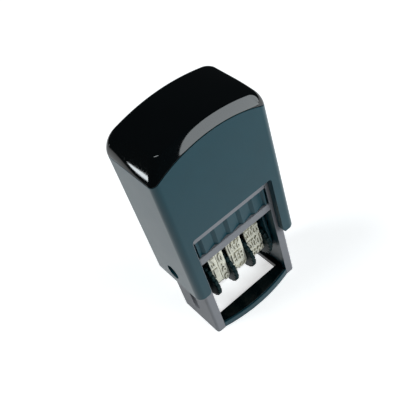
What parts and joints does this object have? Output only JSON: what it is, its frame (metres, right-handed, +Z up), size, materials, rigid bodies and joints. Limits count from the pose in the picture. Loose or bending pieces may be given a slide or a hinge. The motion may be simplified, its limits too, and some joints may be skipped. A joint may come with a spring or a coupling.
{
  "type": "self-inking date stamp",
  "caption": "Small self-inking date stamp with four date bands set by thumbwheels, a push-down shell, a type unit that flips over and an ink pad cassette.",
  "frame": {"origin": "centre of the outline on the standing surface, under the middle of the shell", "axes": "+Z up, -Y towards the front with the cassette window, +X to the right seen from the front"},
  "size_m": [0.042, 0.0246, 0.0857],
  "materials": {
    "shell_plastic": "satin dark slate, fine grain",
    "frame_plastic": "satin warm grey",
    "black_gloss": "polished black",
    "unit_plastic": "satin near-black",
    "wheel_plastic": "satin near-black green",
    "band_rubber": "matt cream rubber",
    "pad_felt": "felt soaked with black ink",
    "steel": "drawn wire and bright rod"
  },
  "bodies": {
    "base_frame": {"frame_side_left": "frame_plastic", "frame_side_right": "frame_plastic", "frame_bar_front_lower": "frame_plastic", "frame_bar_front_upper": "frame_plastic", "frame_bar_back_lower": "frame_plastic", "frame_bar_back_upper": "frame_plastic", "frame_deck": "shell_plastic", "foot_plate": "black_gloss", "foot_rim": "shell_plastic", "return_spring": "steel"},
    "shell": {"housing_shell": "shell_plastic", "top_cap": "black_gloss", "pivot_pin_left": "unit_plastic", "pivot_pin_right": "unit_plastic"},
    "type_unit": {"print_plate_left": "unit_plastic", "print_plate_right": "unit_plastic", "print_bridge": "unit_plastic", "tie_bar": "unit_plastic", "setting_axle": "steel", "axle_collar": "unit_plastic", "band_day_tens": "band_rubber", "band_day_units": "band_rubber", "band_month": "band_rubber", "band_year": "band_rubber"},
    "wheel_day_tens": {"thumbwheel_day_tens": "wheel_plastic"},
    "wheel_day_units": {"thumbwheel_day_units": "wheel_plastic"},
    "wheel_month": {"thumbwheel_month": "wheel_plastic"},
    "wheel_year": {"thumbwheel_year": "wheel_plastic"},
    "cassette": {"pad_cassette": "shell_plastic", "ink_pad": "pad_felt"}
  },
  "joints": [
    {"name": "press", "type": "slide", "parent": "base_frame", "child": "shell", "axis": [0, 0, -1], "range_m": [0, 0.0203], "stiffness_N_per_m": 350, "springref_m": -0.01, "deforming": ["return_spring"]},
    {"name": "flip", "type": "hinge", "parent": "shell", "child": "type_unit", "pos_m": [0, 0, 0.03], "axis": [-1, 0, 0], "range_deg": [0, 180]},
    {"name": "set_day_tens", "type": "hinge", "parent": "type_unit", "child": "wheel_day_tens", "pos_m": [0, 0, 0.01625], "axis": [1, 0, 0], "continuous": true},
    {"name": "set_day_units", "type": "hinge", "parent": "type_unit", "child": "wheel_day_units", "pos_m": [0, 0, 0.01625], "axis": [1, 0, 0], "continuous": true},
    {"name": "set_month", "type": "hinge", "parent": "type_unit", "child": "wheel_month", "pos_m": [0, 0, 0.01625], "axis": [1, 0, 0], "continuous": true},
    {"name": "set_year", "type": "hinge", "parent": "type_unit", "child": "wheel_year", "pos_m": [0, 0, 0.01625], "axis": [1, 0, 0], "continuous": true},
    {"name": "cassette_slide", "type": "slide", "parent": "base_frame", "child": "cassette", "axis": [0, 1, 0], "range_m": [-0.018, 0]}
  ],
  "couplings": [
    {"joint": "flip", "follows": "press", "rad_per_m": 154.76}
  ]
}
